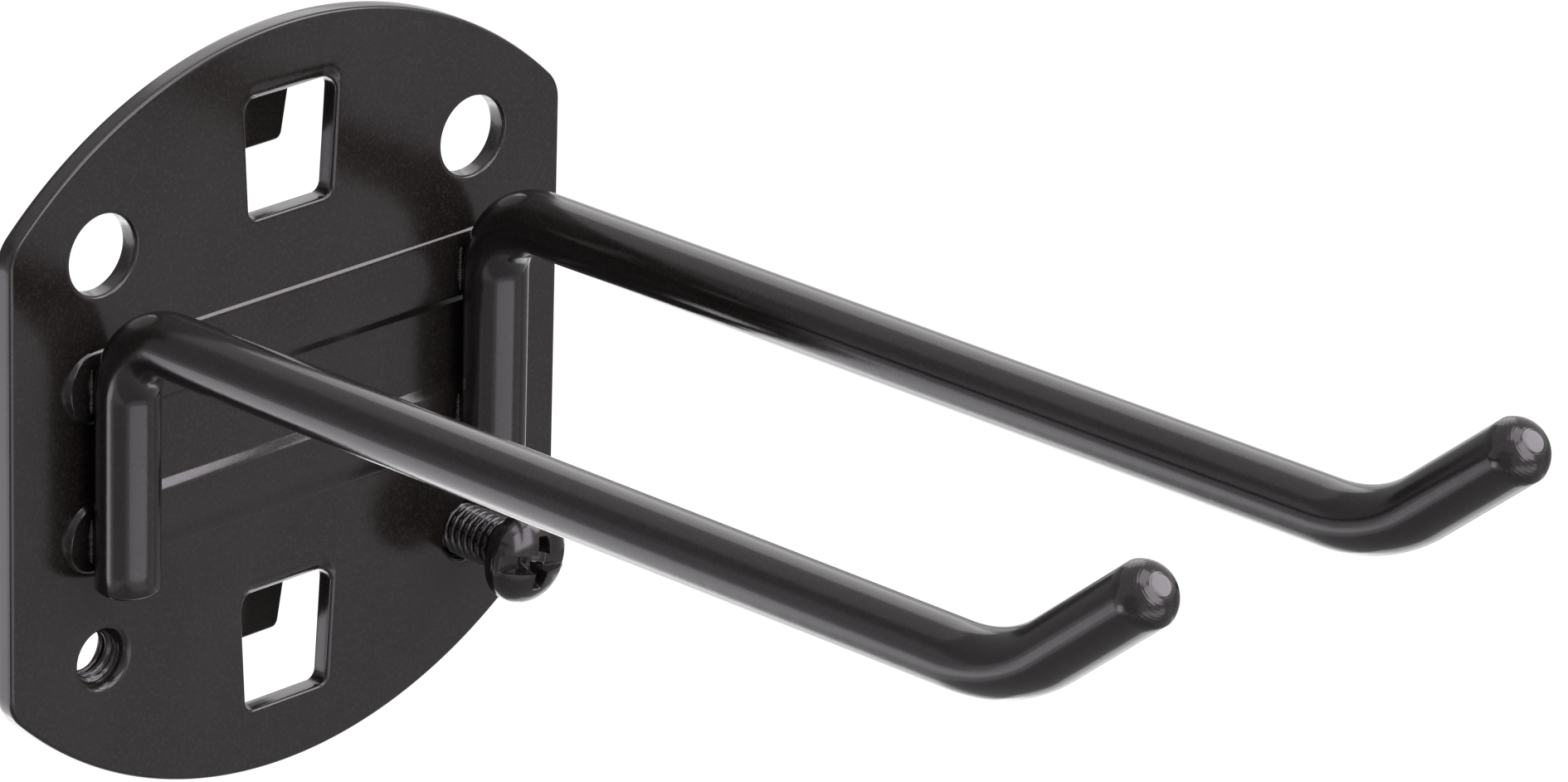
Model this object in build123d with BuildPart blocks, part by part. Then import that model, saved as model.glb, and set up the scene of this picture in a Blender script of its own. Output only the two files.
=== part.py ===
"""Double-rod hook on a pressed plate for a square-hole tool panel.

A sheet-steel back plate with an arched top and bottom hangs in the panel by two tabs that are lanced out
of it and bent back and down behind the panel.  Two round rods run down its front, are welded across two
pressed ribs, and reach forward as a pair of arms with upturned tips.  One of the two tapped collars at
the bottom holds a lock screw that pushes the plate off the panel, so that the tabs grip.

Frame: X across the plate, Y towards the panel, Z up.  The origin is the centre of the plate's back face,
so the rods reach forward along -Y.  All sizes are in millimetres.
"""
import os
from math import cos, radians, sin, sqrt, tan

from build123d import *

# Back plate
sheet = 1.5
plate_width = 52.0
plate_height = 57.3
arch_radius = 35.8
plate_corner_radius = 3.0

# Tabs that hang the plate in the panel's square holes
panel_pitch = 38.1
upper_hinge_z = 24.85
tab_inner_radius = 0.45
lip_inner_radius = 1.9
panel_gap = 3.4
lip_drop = 7.45
lip_end_width = 6.8
lip_corner_radius = 0.6

# Windows that the tabs were lanced from, measured from each hinge line
window_root_width = 8.8
window_end_width = 7.7
window_end_drop = 10.45
window_root_drop = 1.4
window_root_radius = 1.1
window_end_radius = 0.8
hinge_dip_width = 6.0

# Pressed ribs that the rods are welded across
rib_spacing = 11.4
rib_length = 42.2
rib_width = 5.45
rib_wall_run = 0.85
rib_relief = 0.45

# Holes and tapped collars, in two columns behind the rods
column_spacing = 35.0
hole_height = 15.45
plain_hole_diameter = 6.0
collar_drop = 15.45
collar_length = 1.55
collar_wall = 0.9
collar_mouth_radius = 0.6

# Rods
rod_diameter = 4.76
weld_sink = 0.18
rod_foot_z = -9.1
arm_height = 10.75
arm_rise = 2.2
arm_reach = 88.9
heel_radius = 5.2
tip_bend_radius = 14.0
tip_angle = 40.0
tip_length = 16.5
tip_rounding = 1.5
foot_chamfer = 0.35

# Lock screw
screw_diameter = 4.0
screw_length = 8.0
thread_clearance = 0.05
thread_pitch = 0.7
turns_to_seat = 8
seat_clearance = 0.05
head_diameter = 7.0
head_height = 2.6
head_crown_radius = 5.0
head_shoulder_radius = 1.25
slot_width = 1.3
slot_depth = 1.3
cross_span = 4.1
cross_width = 1.1
cross_depth = 2.0
cross_taper = 8.0
slot_tilt = -9.0
point_chamfer = 0.5

# Places that follow from the sizes above
tab_outer_radius = tab_inner_radius + sheet
lip_outer_radius = lip_inner_radius + sheet
tab_depth = panel_gap + 2 * sheet
hinge_heights = [upper_hinge_z, upper_hinge_z - panel_pitch]
rib_heights = [rib_spacing / 2, -rib_spacing / 2]
column_places = [-column_spacing / 2, column_spacing / 2]
collar_bore_radius = screw_diameter / 2 + thread_clearance
collar_outer_radius = collar_bore_radius + collar_wall
rod_radius = rod_diameter / 2
leg_y = -(sheet + rib_relief + rod_radius - weld_sink)
head_seat_y = -(sheet + turns_to_seat * thread_pitch + seat_clearance)
arch_offset = arch_radius - plate_height / 2
corner_z = sqrt(arch_radius**2 - (plate_width / 2) ** 2) - arch_offset
head_radius = head_diameter / 2
crown_fall = head_crown_radius - sqrt(head_crown_radius**2 - head_radius**2)
crown_edge_height = head_height - crown_fall

# Tab: the bent strip, drawn from the side with the hinge line at height zero.  Its underside is the
# sheet's front face, which rolls back through the panel's hole and then down into the lip.
with BuildPart() as tab:
    with BuildSketch(Plane.YZ) as tab_side:
        with BuildLine():
            underside = FilletPolyline(
                (-sheet, sheet),
                (-sheet, -tab_outer_radius),
                (panel_gap, -tab_outer_radius),
                (panel_gap, -lip_drop),
                radius=[tab_outer_radius, lip_inner_radius],
            )
            topside = FilletPolyline(
                (0, sheet),
                (0, -tab_inner_radius),
                (panel_gap + sheet, -tab_inner_radius),
                (panel_gap + sheet, -lip_drop),
                radius=[tab_inner_radius, lip_outer_radius],
            )
            Line(underside @ 0, topside @ 0)
            Line(underside @ 1, topside @ 1)
        make_face()
    extrude(amount=window_root_width / 2, both=True)
    # Seen from the front the strip narrows towards the lip's rounded corners
    lip_shoulder_z = -tab_outer_radius
    with BuildSketch(Plane.XZ) as tab_front:
        with BuildLine():
            Polyline(
                (-lip_end_width / 2, -lip_drop),
                (lip_end_width / 2, -lip_drop),
                (window_root_width / 2, lip_shoulder_z),
                (window_root_width / 2, sheet),
                (-window_root_width / 2, sheet),
                (-window_root_width / 2, lip_shoulder_z),
                close=True,
            )
        make_face()
        fillet(tab_front.vertices().group_by(Axis.Y)[0], lip_corner_radius)
    extrude(amount=tab_depth, both=True, mode=Mode.INTERSECT)

# Hollow that the bend leaves in front of the hinge, where the sheet's front face rolls back
with BuildPart() as hinge_dip:
    with BuildSketch(Plane.YZ):
        with BuildLine():
            dip_front = Line((-sheet, 0), (-sheet, -tab_outer_radius))
            dip_floor = Line(dip_front @ 1, (tab_inner_radius, -tab_outer_radius))
            RadiusArc(dip_floor @ 1, dip_front @ 0, tab_outer_radius)
        make_face()
    extrude(amount=window_root_width / 2, both=True)
    with BuildSketch(Plane.XZ) as dip_outline:
        with BuildLine():
            Polyline(
                (-window_root_width / 2, -tab_outer_radius),
                (window_root_width / 2, -tab_outer_radius),
                (hinge_dip_width / 2, 0),
                (-hinge_dip_width / 2, 0),
                close=True,
            )
        make_face()
    extrude(amount=tab_depth, both=True, mode=Mode.INTERSECT)

# Pressed plate: arched blank, ribs pressed forward, windows with their tabs, holes and collars
with BuildPart() as pressed_plate:
    with BuildSketch(Plane.XZ) as blank:
        with BuildLine():
            top_arch = ThreePointArc(
                (-plate_width / 2, corner_z), (0, plate_height / 2), (plate_width / 2, corner_z)
            )
            bottom_arch = ThreePointArc(
                (-plate_width / 2, -corner_z), (0, -plate_height / 2), (plate_width / 2, -corner_z)
            )
            Line(top_arch @ 0, bottom_arch @ 0)
            Line(top_arch @ 1, bottom_arch @ 1)
        make_face()
        fillet(blank.vertices(), plate_corner_radius)
    extrude(amount=sheet)

    # Each rib is a band with sloped walls and round ends; the press leaves the same band as a recess
    # in the back face, so that the sheet keeps its thickness
    for base_y, mode in ((-sheet, Mode.ADD), (0.0, Mode.SUBTRACT)):
        for rib_z in rib_heights:
            with BuildSketch(Plane.XZ.offset(-base_y)):
                with Locations((0, rib_z)):
                    SlotOverall(rib_length, rib_width)
            with BuildSketch(Plane.XZ.offset(-base_y + rib_relief)):
                with Locations((0, rib_z)):
                    SlotOverall(rib_length - 2 * rib_wall_run, rib_width - 2 * rib_wall_run)
            loft(mode=mode)

    for hinge_z in hinge_heights:
        window_top = hinge_z - window_root_drop
        window_bottom = hinge_z - window_end_drop
        with BuildSketch(Plane.XZ) as window:
            with BuildLine():
                Polyline(
                    (-window_end_width / 2, window_bottom),
                    (window_end_width / 2, window_bottom),
                    (window_root_width / 2, window_top),
                    (-window_root_width / 2, window_top),
                    close=True,
                )
            make_face()
            fillet(window.vertices().group_by(Axis.Y)[0], window_end_radius)
            fillet(window.vertices().group_by(Axis.Y)[-1], window_root_radius)
        extrude(amount=sheet, mode=Mode.SUBTRACT)
    with Locations(*[(0, 0, hinge_z) for hinge_z in hinge_heights]):
        add(hinge_dip.part, mode=Mode.SUBTRACT)
        add(tab.part)

    # Collars drawn out of the sheet behind the two lower holes
    with BuildSketch(Plane.XZ):
        with Locations(*[(column_x, -collar_drop) for column_x in column_places]):
            Circle(collar_outer_radius)
    extrude(amount=-collar_length)
    with BuildSketch(Plane.XZ.offset(sheet)):
        with Locations(*[(column_x, -collar_drop) for column_x in column_places]):
            Circle(collar_bore_radius)
    extrude(amount=-(sheet + collar_length), mode=Mode.SUBTRACT)
    collar_mouths = (
        pressed_plate.edges()
        .filter_by(GeomType.CIRCLE)
        .filter_by_position(Axis.Y, -sheet, -sheet)
        .filter_by(lambda edge: abs(edge.radius - collar_bore_radius) < thread_clearance / 2)
    )
    fillet(collar_mouths, collar_mouth_radius)
    with BuildSketch(Plane.XZ):
        with Locations(*[(column_x, hole_height) for column_x in column_places]):
            Circle(plain_hole_diameter / 2)
    extrude(amount=sheet, mode=Mode.SUBTRACT)

# Rod: one bent and cut length, drawn in its own plane from the foot, round the heel, along the arm and
# up the tip.  The arm's reach is counted from the plate's front face to where arm and tip would cross.
tip_corner_y = -(sheet + arm_reach)
tip_corner_z = arm_height + (leg_y - tip_corner_y) * tan(radians(arm_rise))
tip_end_y = tip_corner_y - tip_length * cos(radians(tip_angle))
tip_end_z = tip_corner_z + tip_length * sin(radians(tip_angle))
with BuildPart() as rod:
    with BuildLine(Plane.YZ) as rod_line:
        FilletPolyline(
            (leg_y, rod_foot_z),
            (leg_y, arm_height),
            (tip_corner_y, tip_corner_z),
            (tip_end_y, tip_end_z),
            radius=[heel_radius, tip_bend_radius],
        )
    with BuildSketch(Plane((0, leg_y, rod_foot_z))):
        Circle(rod_radius)
    sweep(path=rod_line.wire())
    fillet(rod.faces().sort_by(Axis.Y)[0].edges(), tip_rounding)
    chamfer(rod.faces().sort_by(Axis.Z)[0].edges(), foot_chamfer)

with BuildPart() as left_rod:
    with Locations((column_places[0], 0, 0)):
        add(rod.part)

with BuildPart() as right_rod:
    with Locations((column_places[1], 0, 0)):
        add(rod.part)

# Back plate: the pressed plate with the seats that the weld sinks the legs into, across the crown of
# each rib
with BuildPart() as back_plate:
    add(pressed_plate.part)
    with Locations(*[(column_x, 0, 0) for column_x in column_places]):
        add(rod.part, mode=Mode.SUBTRACT)

# Lock screw: pan head with a slot across a cross recess, started in the right-hand collar.  The shank
# is drawn at the thread's major diameter.
with BuildPart() as lock_screw:
    screw_seat = (column_places[1], head_seat_y, -collar_drop)
    head_plane = Plane(screw_seat, x_dir=(1, 0, 0), z_dir=(0, -1, 0))
    with BuildSketch(Plane(screw_seat, x_dir=(0, 1, 0), z_dir=(1, 0, 0))) as screw_profile:
        with BuildLine():
            outside = Polyline(
                (-head_height, 0),
                (screw_length, 0),
                (screw_length, screw_diameter / 2 - point_chamfer),
                (screw_length - point_chamfer, screw_diameter / 2),
                (0, screw_diameter / 2),
                (0, head_radius),
                (-crown_edge_height, head_radius),
            )
            RadiusArc(outside @ 1, outside @ 0, -head_crown_radius)
        make_face()
        crown_edge = screw_profile.vertices().sort_by_distance((-crown_edge_height, head_radius))[0]
        fillet(crown_edge, head_shoulder_radius)
    revolve(axis=Axis(screw_seat, (0, 1, 0)))
    with BuildSketch(head_plane.offset(head_height)):
        Rectangle(head_diameter, slot_width, rotation=slot_tilt)
    extrude(amount=-slot_depth, mode=Mode.SUBTRACT)
    with BuildSketch(head_plane.offset(head_height)):
        for wing_turn in (0, 90):
            Rectangle(cross_span, cross_width, rotation=slot_tilt + wing_turn)
    extrude(amount=-cross_depth, taper=cross_taper, mode=Mode.SUBTRACT)

os.makedirs("parts", exist_ok=True)
for piece, name in (
    (back_plate, "back_plate"),
    (left_rod, "left_rod"),
    (right_rod, "right_rod"),
    (lock_screw, "lock_screw"),
):
    piece.part.label = name
    export_step(piece.part, f"parts/{name}.step")
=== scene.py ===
"""Dresses the double-rod panel hook for its studio picture.

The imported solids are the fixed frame.  Each of the four pieces gets a finer skin of its own that stands
where its solid stands: the pressed plate with rolled edges, bent tabs and threaded collars, the two bent
rods with their rounded tips, and the lock screw with its thread and slotted cross-recess head.

Lengths are worked out in millimetres and become metres when a mesh is made.  X runs across the plate,
Y points towards the panel and Z points up, as in the frame.
"""
import logging
import math
from collections.abc import Callable
from dataclasses import dataclass, field
from enum import Enum

import bmesh
import bpy
import numpy as np
from mathutils import Matrix, Quaternion, Vector
from mathutils.geometry import delaunay_2d_cdt


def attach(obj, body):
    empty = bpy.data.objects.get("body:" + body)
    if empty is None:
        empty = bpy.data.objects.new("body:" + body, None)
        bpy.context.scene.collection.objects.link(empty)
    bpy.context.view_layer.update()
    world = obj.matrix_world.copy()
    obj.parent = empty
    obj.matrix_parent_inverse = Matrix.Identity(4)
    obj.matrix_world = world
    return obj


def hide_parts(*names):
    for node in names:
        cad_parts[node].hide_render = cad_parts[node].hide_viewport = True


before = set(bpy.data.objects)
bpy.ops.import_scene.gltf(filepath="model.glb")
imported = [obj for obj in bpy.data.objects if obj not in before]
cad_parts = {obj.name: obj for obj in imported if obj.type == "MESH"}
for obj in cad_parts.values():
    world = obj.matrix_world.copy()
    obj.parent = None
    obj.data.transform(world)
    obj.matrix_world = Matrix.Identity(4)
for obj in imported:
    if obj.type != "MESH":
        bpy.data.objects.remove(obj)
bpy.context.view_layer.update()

LOG = logging.getLogger("panel_hook")
MM = 0.001
# Two points of a mesh nearer than the first, in metres, or of a flat drawing nearer than the second, in
# millimetres, are one
WELD_DISTANCE = 1e-7
MERGE_DISTANCE = 1e-7
SHARP_ANGLE = math.radians(42.0)


class Hand(Enum):
    """Which of the two mirrored columns a piece stands in."""

    LEFT = -1.0
    RIGHT = 1.0


def ease(value: np.ndarray, low: float, high: float) -> np.ndarray:
    """Rise smoothly from 0 at low to 1 at high, level at both ends.

    Args:
        value: Numbers to place between low and high.
        low: Where the rise starts.
        high: Where the rise ends.

    Returns:
        Three t squared less two t cubed, with t the share of the way.
    """
    share = np.clip((value - low) / (high - low), 0.0, 1.0)
    return share * share * (3.0 - 2.0 * share)


def full_turn(count: int) -> np.ndarray:
    """Return the angles of points spread evenly round a circle."""
    return np.linspace(0.0, 2.0 * math.pi, count + 1)[:-1]


def quarter_turn(count: int) -> np.ndarray:
    """Return evenly spaced angles from nought to a right angle, both included."""
    return np.linspace(0.0, 0.5 * math.pi, count)


def turned(centre: tuple, radius: np.ndarray, depth: np.ndarray, angle: np.ndarray) -> np.ndarray:
    """Turn rings about an axis along Y.

    A point stands at the centre plus its radius times the angle's cosine across and sine up.

    Args:
        centre: X and Z of the axis.
        radius: The radius of each point, rings by angles.
        depth: Y of each ring.
        angle: The angles of the points round it.

    Returns:
        Rings by angles by 3.
    """
    across, up = centre[0] + radius * np.cos(angle), centre[1] + radius * np.sin(angle)
    return np.stack([across, np.broadcast_to(depth[:, None], across.shape), up], axis=-1)


def lattice(across: tuple, up: tuple) -> np.ndarray:
    """Lay points in rows and columns.

    Args:
        across: The first X, the X that they end before and the step.
        up: The same for Z.

    Returns:
        The points, n by 2.
    """
    return np.stack(np.meshgrid(np.arange(*across), np.arange(*up)), -1).reshape(-1, 2)


def arc_points(centre: tuple, radius: float, start: float, end: float, count: int) -> tuple:
    """Lay points on a circle's arc, with their outward normals.

    Args:
        centre: The circle's centre.
        radius: Its radius.
        start: The first point's angle in radians.
        end: The last point's angle in radians.
        count: How many points, ends included.

    Returns:
        The points and the unit vectors from the centre, each an array of count by 2.
    """
    angle = np.linspace(start, end, count)
    normal = np.stack([np.cos(angle), np.sin(angle)], axis=1)
    return np.asarray(centre) + radius * normal, normal


@dataclass(frozen=True)
class Outline:
    """A closed loop in the plate's plane, with unit vectors that point into the metal."""

    points: np.ndarray
    inward: np.ndarray

    def inset(self, distance: float | np.ndarray) -> np.ndarray:
        """Return the loop moved into the metal by one distance, or by one for each point."""
        return self.points + np.reshape(distance, (-1, 1)) * self.inward


def thin_out(points: np.ndarray, normals: np.ndarray, nearest: float = 1e-6) -> tuple:
    """Drop points of a closed loop that repeat the one before them.

    Args:
        points: The loop's points.
        normals: Their normals.
        nearest: The step below which a point is a repeat.

    Returns:
        The points and normals that are left.
    """
    step = np.linalg.norm(points - np.roll(points, 1, axis=0), axis=1)
    keep = step > nearest
    return points[keep], normals[keep]


def circle_outline(centre: tuple, radius: float, count: int) -> Outline:
    """Outline a round hole.

    Args:
        centre: The hole's centre across and up.
        radius: Its radius.
        count: How many points it gets.

    Returns:
        The hole's loop, whose metal lies outside the circle.
    """
    points, normal = arc_points(centre, radius, 0.0, 2.0 * math.pi, count + 1)
    return Outline(points[:-1], normal[:-1])


def window_outline(corners: list, radii: list, spacing: float = 0.25, arc_count: int = 13) -> Outline:
    """Outline a window with straight sides and round corners.

    Each corner's arc touches both of its sides: its centre lies on the corner's bisector, radius over
    the sine of half the corner's angle away.

    Args:
        corners: The sharp corners, counter-clockwise.
        radii: One radius for each corner.
        spacing: The distance between points on the straight sides.
        arc_count: How many points each corner gets.

    Returns:
        The window's loop, whose metal lies outside it.
    """
    sharp = np.asarray(corners, dtype=float)
    stretches = []
    for index, radius in enumerate(radii):
        here = sharp[index]
        back = sharp[index - 1] - here
        ahead = sharp[(index + 1) % len(sharp)] - here
        back /= np.linalg.norm(back)
        ahead /= np.linalg.norm(ahead)
        half_angle = 0.5 * math.acos(float(back @ ahead))
        bisector = (back + ahead) / np.linalg.norm(back + ahead)
        centre = here + bisector * radius / math.sin(half_angle)
        start = math.atan2(back[0], -back[1])
        turn = math.pi - 2.0 * half_angle
        stretches.append(arc_points(tuple(centre), radius, start, start + turn, arc_count))
    points, normals = [], []
    for index, (arc, normal) in enumerate(stretches):
        following = stretches[(index + 1) % len(stretches)][0][0]
        points.append(arc)
        normals.append(normal)
        length = float(np.linalg.norm(following - arc[-1]))
        share = np.linspace(0.0, 1.0, max(2, int(length / spacing)))[1:-1, None]
        points.append(arc[-1] + share * (following - arc[-1]))
        normals.append(np.repeat(normal[-1:], len(share), axis=0))
    return Outline(*thin_out(np.concatenate(points), np.concatenate(normals)))


def inside_loop(points: np.ndarray, loop: np.ndarray) -> np.ndarray:
    """Tell which points lie inside a closed loop.

    A point is inside where a level line from it crosses the loop an odd number of times.

    Args:
        points: The points, n by 2.
        loop: The loop's points, m by 2.

    Returns:
        One truth value for each point.
    """
    after = np.roll(loop, -1, axis=0)
    spans = (loop[None, :, 1] > points[:, 1:]) != (after[None, :, 1] > points[:, 1:])
    rise = np.where(after[:, 1] == loop[:, 1], 1.0, after[:, 1] - loop[:, 1])
    cross = loop[:, 0] + (points[:, 1:] - loop[:, 1]) * (after[:, 0] - loop[:, 0]) / rise
    return (spans & (points[:, :1] < cross)).sum(axis=1) % 2 == 1


class Shell:
    """Gathers the patches of one piece and welds them into one mesh."""

    def __init__(self) -> None:
        """Start with no patches."""
        self.points: list[np.ndarray] = []
        self.faces: list[list[int]] = []
        self.count = 0

    def add(self, points: np.ndarray, faces: np.ndarray) -> None:
        """Add loose points, an array of n by 3, and the faces between them."""
        self.points.append(points)
        self.faces.extend((faces + self.count).tolist())
        self.count += len(points)

    def add_grid(self, points: np.ndarray, wrap_columns: bool = False) -> None:
        """Add a surface of two parameters as quads.

        Args:
            points: Rows by columns by 3.
            wrap_columns: Whether the last column joins the first.
        """
        rows, columns = points.shape[:2]
        index = np.arange(rows * columns).reshape(rows, columns)
        if wrap_columns:
            index = np.concatenate([index, index[:, :1]], axis=1)
        quads = np.stack([index[:-1, :-1], index[:-1, 1:], index[1:, 1:], index[1:, :-1]], axis=-1)
        self.add(points.reshape(-1, 3), quads.reshape(-1, 4))

    def build(self, name: str) -> bpy.types.Object:
        """Weld the patches where they meet and make the object.

        Args:
            name: The object's name.

        Returns:
            A smooth-shaded mesh object at the origin, its faces pointing outwards.
        """
        mesh = bpy.data.meshes.new(name)
        mesh.from_pydata((np.concatenate(self.points) * MM).tolist(), [], self.faces)
        work = bmesh.new()
        work.from_mesh(mesh)
        bmesh.ops.remove_doubles(work, verts=work.verts, dist=WELD_DISTANCE)
        bmesh.ops.dissolve_degenerate(work, edges=work.edges, dist=WELD_DISTANCE)
        bmesh.ops.recalc_face_normals(work, faces=work.faces)
        work.to_mesh(mesh)
        work.free()
        mesh.polygons.foreach_set("use_smooth", np.ones(len(mesh.polygons), dtype=bool))
        mesh.set_sharp_from_angle(angle=SHARP_ANGLE)
        mesh.update()
        piece = bpy.data.objects.new(name, mesh)
        bpy.context.scene.collection.objects.link(piece)
        return piece


@dataclass
class Thread:
    """A fine machine thread along Y, the same for the screw and for the collars that take it.

    The radius over the angle and the depth is a rounded saw of the share of a turn.  Its phase is the
    depth over the pitch plus the angle over a full turn, so a crest comes one pitch forward for each turn
    from X to Z, as a right-hand helix does.
    """

    pitch: float = 0.7
    major_radius: float = 2.0
    minor_radius: float = 1.62
    flat_share: float = 0.2
    start_y: float = -7.15

    def radius(self, angle: np.ndarray, depth: np.ndarray) -> np.ndarray:
        """Return the thread's radius at an angle and a place along Y."""
        phase = (depth - self.start_y) / self.pitch + angle / (2.0 * math.pi)
        slope = 2.0 * np.abs(phase - np.floor(phase) - 0.5)
        share = np.clip((slope - 0.5 * self.flat_share) / (1.0 - self.flat_share), 0.0, 1.0)
        return self.minor_radius + (self.major_radius - self.minor_radius) * ease(share, 0.0, 1.0)


@dataclass
class PressedPlate:
    """The back plate: one sheet, pressed, pierced, lanced and bent."""

    sheet: float = 1.5
    width: float = 52.0
    height: float = 57.3
    arch_radius: float = 35.8
    corner_radius: float = 3.0
    front_roll: float = 0.28
    back_roll: float = 0.14
    hinge_heights: tuple = (24.85, -13.25)
    root_width: float = 8.8
    end_width: float = 7.7
    end_drop: float = 10.45
    root_drop: float = 1.4
    root_radius: float = 1.1
    end_radius: float = 0.8
    bend_inner: float = 0.45
    lip_inner: float = 1.9
    panel_gap: float = 3.4
    lip_drop: float = 7.45
    lip_end_width: float = 6.8
    lip_corner: float = 0.6
    dip_reach: tuple = (3.0, 4.7)
    dip_limit: float = 1.65
    dip_settle: tuple = (0.5, 2.2)
    hidden_rim: tuple = (2.9, 4.0)
    hidden_height: float = 0.6
    hidden_share: float = 0.95
    shade_margin: float = 0.15
    tab_roll: float = 0.2
    tab_overlap: float = 0.25
    rib_spacing: float = 11.4
    rib_length: float = 42.2
    rib_width: float = 5.45
    rib_crown: float = 0.58
    rib_fall: float = 0.30
    rib_crest: float = -0.2
    rib_inner_slope: float = 0.68
    rib_outer_slope: float = 1.4
    rib_end_slope: float = 3.2
    rib_slope_turn: float = 0.6
    rib_end_run: float = 1.4
    rib_blend: float = 0.06
    rib_foot: float = 0.02
    rib_foot_run: float = 0.6
    column: float = 17.5
    hole_height: float = 15.45
    hole_radius: float = 3.0
    collar_length: float = 1.55
    collar_outer: float = 2.95
    collar_root_fillet: float = 0.35
    collar_end_round: float = 0.2
    mouth_radius: float = 2.65
    throat_depth: float = 0.85
    thread: Thread = field(default_factory=Thread)
    thread_clearance: float = 0.05
    thread_run_in: float = 0.5
    thread_run_out: float = 0.3
    thread_end_gap: float = 0.08
    bore_chamfer: float = 0.12
    ring_points: int = 96
    side_points: int = 42
    arch_points: int = 90
    corner_points: int = 12
    throat_rings: int = 40
    tab_bend_points: int = 16
    tab_lip_points: int = 20
    tab_drop_points: int = 12
    tab_end_points: int = 15
    wall_shares: tuple = (0.33, 0.67)
    contour_depths: tuple = (-0.1, 0.9, 15)
    contour_end_points: int = 15
    contour_run_points: int = 74
    skin_clearance: float = 0.16
    coarse_across: tuple = (-25.2, 25.3, 1.05)
    coarse_up: tuple = (-28.2, 28.3, 1.05)
    fine_across: tuple = (-5.6, 5.61, 0.28)
    fine_below: float = 3.6
    fine_above: float = 0.6
    fine_step: float = 0.21
    filling_parts: int = 16
    name: str = "pressed_plate"

    @property
    def rib_heights(self) -> tuple:
        """Z of the middle of each rib."""
        return 0.5 * self.rib_spacing, -0.5 * self.rib_spacing

    @property
    def rib_reach(self) -> float:
        """X of the centre of a rib's rounded end."""
        return 0.5 * (self.rib_length - self.rib_width)

    def rib(self, across: np.ndarray, up: np.ndarray) -> np.ndarray:
        """Return how far the pressed ribs stand forward.

        The band's edge is a stadium: the distance from a line as long as the rib less its width.  The
        relief follows the lower of two heights, a wall that is steeper on the side away from the plate's
        middle and steepest round the ends, and a crown that falls with the square of the way from its
        crest.  A blend rounds off where they meet: half their sum, less half the root of the squares of
        their difference and of the blend.

        Args:
            across: X of the points.
            up: Z of the points.

        Returns:
            The relief at each point, from 0 to the crown's height.
        """
        along = across - np.clip(across, -self.rib_reach, self.rib_reach)
        relief = np.zeros_like(across)
        turn = self.rib_slope_turn
        for centre in self.rib_heights:
            edge = 0.5 * self.rib_width - np.hypot(along, up - centre)
            side = math.copysign(2.0, centre) * (up - centre) / self.rib_width
            slope = self.rib_inner_slope
            slope = slope + (self.rib_outer_slope - slope) * ease(side, -turn, turn)
            slope = slope + (self.rib_end_slope - slope) * ease(np.abs(along), 0.0, self.rib_end_run)
            wall = slope * edge
            crown = self.rib_crown - self.rib_fall * (side - self.rib_crest) ** 2
            lower = 0.5 * (wall + crown - np.hypot(wall - crown, self.rib_blend))
            foot = 0.5 * (lower + np.hypot(lower, self.rib_foot))
            relief = np.maximum(relief, foot * ease(edge, -self.rib_foot_run, 0.0))
        return relief

    def dip(self, across: np.ndarray, up: np.ndarray) -> np.ndarray:
        """Return how far the front face rolls back into each hinge.

        Below the hinge line the face follows the bend's outer circle, the radius less the root of its
        square less the drop's square.  The roll fades towards the window's sides and below its top edge.

        Args:
            across: X of the points.
            up: Z of the points.

        Returns:
            The depth at each point.
        """
        outer = self.bend_inner + self.sheet
        depth = np.zeros_like(across)
        fade = 1.0 - ease(np.abs(across), *self.dip_reach)
        settle_from, settle_to = (self.root_drop + past for past in self.dip_settle)
        for hinge in self.hinge_heights:
            drop = hinge - up
            inside = (drop > 0.0) & (drop < self.end_drop)
            drop = np.clip(drop, 0.0, self.dip_limit)
            settle = 1.0 - ease(hinge - up, settle_from, settle_to)
            depth = np.where(inside, (outer - np.sqrt(outer**2 - drop**2)) * fade * settle, depth)
        return depth

    def front(self, across: np.ndarray, up: np.ndarray) -> np.ndarray:
        """Return Y of the front face."""
        return -self.sheet - self.rib(across, up) + self.dip(across, up)

    def back(self, across: np.ndarray, up: np.ndarray) -> np.ndarray:
        """Return Y of the back face, with the ribs' recesses."""
        return -self.rib(across, up)

    def blank_outline(self) -> Outline:
        """Outline the plate: two arches, two straight sides and four round corners.

        A corner's centre is one corner radius inside the side and one inside the arch's circle.

        Returns:
            The outer loop, whose metal lies inside it.
        """
        half = 0.5 * self.width
        arch_z = 0.5 * self.height - self.arch_radius
        corner_x = half - self.corner_radius
        corner_z = arch_z + math.sqrt((self.arch_radius - self.corner_radius) ** 2 - corner_x**2)
        tangent = math.atan2(corner_z - arch_z, corner_x)
        corner, corner_normal = arc_points(
            (corner_x, corner_z), self.corner_radius, 0.0, tangent, self.corner_points
        )
        arch, arch_normal = arc_points(
            (0.0, arch_z), self.arch_radius, tangent, math.pi - tangent, self.arch_points
        )
        side_z = np.linspace(-corner_z, corner_z, self.side_points)
        side = np.stack([np.full_like(side_z, half), side_z], axis=1)
        side_normal = np.tile([1.0, 0.0], (len(side), 1))
        flip = np.array([-1.0, 1.0])
        points = np.concatenate([side, corner, arch, (corner * flip)[::-1]])
        normals = np.concatenate([side_normal, corner_normal, arch_normal, (corner_normal * flip)[::-1]])
        points, normals = np.concatenate([points, -points]), np.concatenate([normals, -normals])
        points, normals = thin_out(points, normals)
        return Outline(points, -normals)

    def window_outlines(self) -> list:
        """Outline both windows, narrower at the bottom, where the tab's lip was cut free."""
        outlines = []
        for hinge in self.hinge_heights:
            top, bottom = hinge - self.root_drop, hinge - self.end_drop
            corners = [
                (-0.5 * self.end_width, bottom),
                (0.5 * self.end_width, bottom),
                (0.5 * self.root_width, top),
                (-0.5 * self.root_width, top),
            ]
            radii = [self.end_radius, self.end_radius, self.root_radius, self.root_radius]
            outlines.append(window_outline(corners, radii))
        return outlines

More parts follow.
